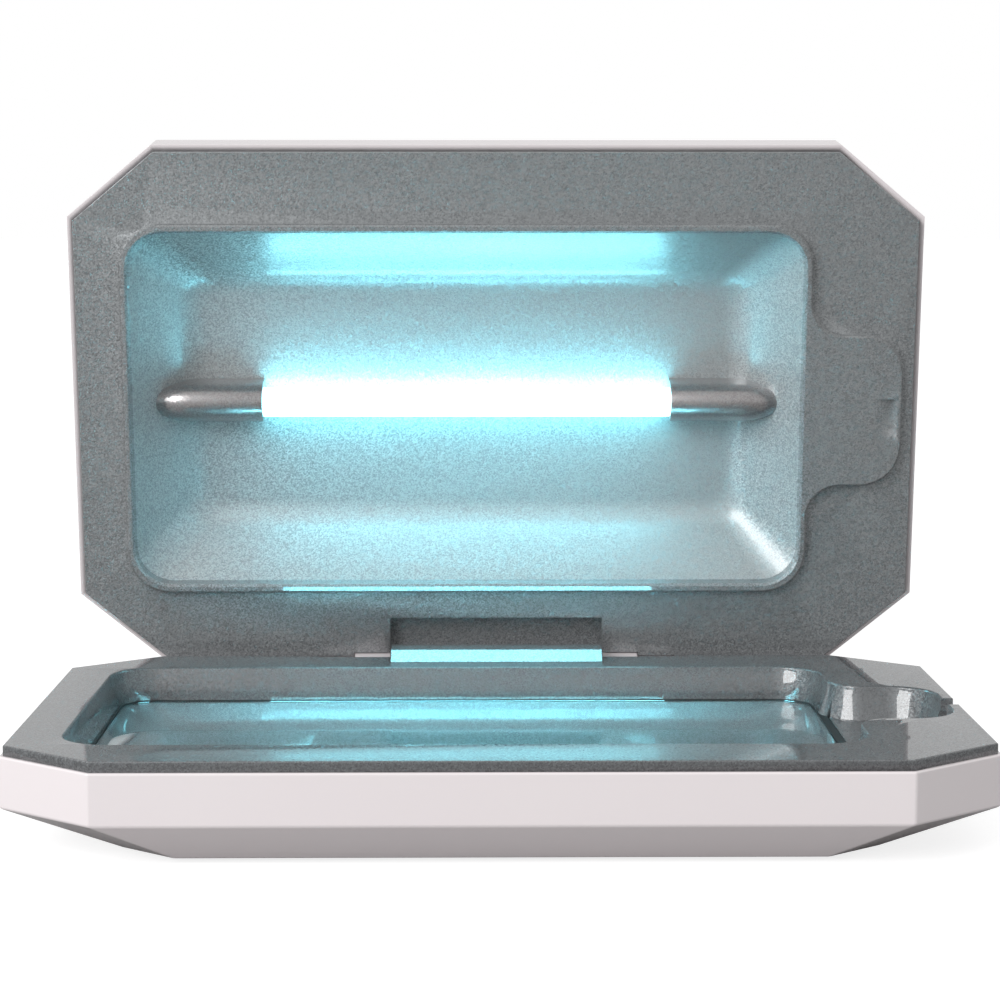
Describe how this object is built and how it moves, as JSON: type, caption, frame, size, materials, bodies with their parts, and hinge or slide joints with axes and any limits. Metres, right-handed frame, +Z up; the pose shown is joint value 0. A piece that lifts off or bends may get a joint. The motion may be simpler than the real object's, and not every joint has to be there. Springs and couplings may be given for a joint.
{
  "type": "uv sterilizer cabinet",
  "caption": "Clamshell ultraviolet sanitiser box with a lit germicidal lamp in its hinged lid, a quartz-covered well below and a cable bay at one side.",
  "frame": {"origin": "on the surface the box stands on, under the middle of the open box's bounding box", "axes": "+X to the right along the hinge, +Y to the back where the hinge is, +Z up"},
  "size_m": [0.22, 0.164, 0.1588],
  "materials": {
    "white_shell": "gloss moulded ABS",
    "silver_rim": "metallised plastic, fine flake, mirror gloss",
    "reflector": "bright rolled sheet",
    "quartz": "clear quartz",
    "gasket": "matte",
    "lamp": "lit quartz tube",
    "lamp_cap": "satin",
    "boot_rubber": "matte",
    "circuit_board": "solder mask",
    "winding": "enamelled copper wire",
    "component": "moulded nylon",
    "socket_metal": "nickel plated",
    "connector": "nylon",
    "wire": "silicone",
    "steel": "ground",
    "washer": "nylon",
    "foot_rubber": "matte",
    "screw": "zinc plated",
    "magnet": "nickel plated",
    "lens": "clear light pipe"
  },
  "bodies": {
    "base": {"base_shell": "white_shell", "base_bezel": "silver_rim", "hinge_cover": "silver_rim", "base_reflector": "reflector", "quartz_plate": "quartz", "plate_gasket": "gasket", "base_lamp_tube": "lamp", "base_lamp_cap_left": "lamp_cap", "base_lamp_cap_right": "lamp_cap", "base_lamp_boots": "boot_rubber", "driver_board": "circuit_board", "driver_transformers": "winding", "driver_capacitors": "component", "power_inlet": "component", "charging_board": "circuit_board", "usb_socket_a": "socket_metal", "usb_socket_c": "socket_metal", "wire_connectors": "connector", "base_wiring": "wire", "lid_sensor_board": "circuit_board", "catch_plates": "steel", "hinge_pin_left": "steel", "hinge_pin_right": "steel", "hinge_washers": "washer", "foot_front_left": "foot_rubber", "foot_front_right": "foot_rubber", "foot_back_left": "foot_rubber", "foot_back_right": "foot_rubber", "housing_screws": "screw", "base_reflector_screws": "screw", "board_screws": "screw"},
    "lid": {"lid_shell": "white_shell", "lid_bezel": "silver_rim", "lid_reflector": "reflector", "lid_lamp_tube": "lamp", "lid_lamp_cap_left": "lamp_cap", "lid_lamp_cap_right": "lamp_cap", "lid_lamp_boots": "boot_rubber", "lid_wiring": "wire", "lid_magnets": "magnet", "lid_reflector_screws": "screw", "indicator_board": "circuit_board", "indicator_lens": "lens"}
  },
  "joints": [
    {"name": "lid_hinge", "type": "hinge", "parent": "base", "child": "lid", "pos_m": [0, 0.05588, 0.0196], "axis": [-1, 0, 0], "range_deg": [-82.4, 22.6]}
  ]
}
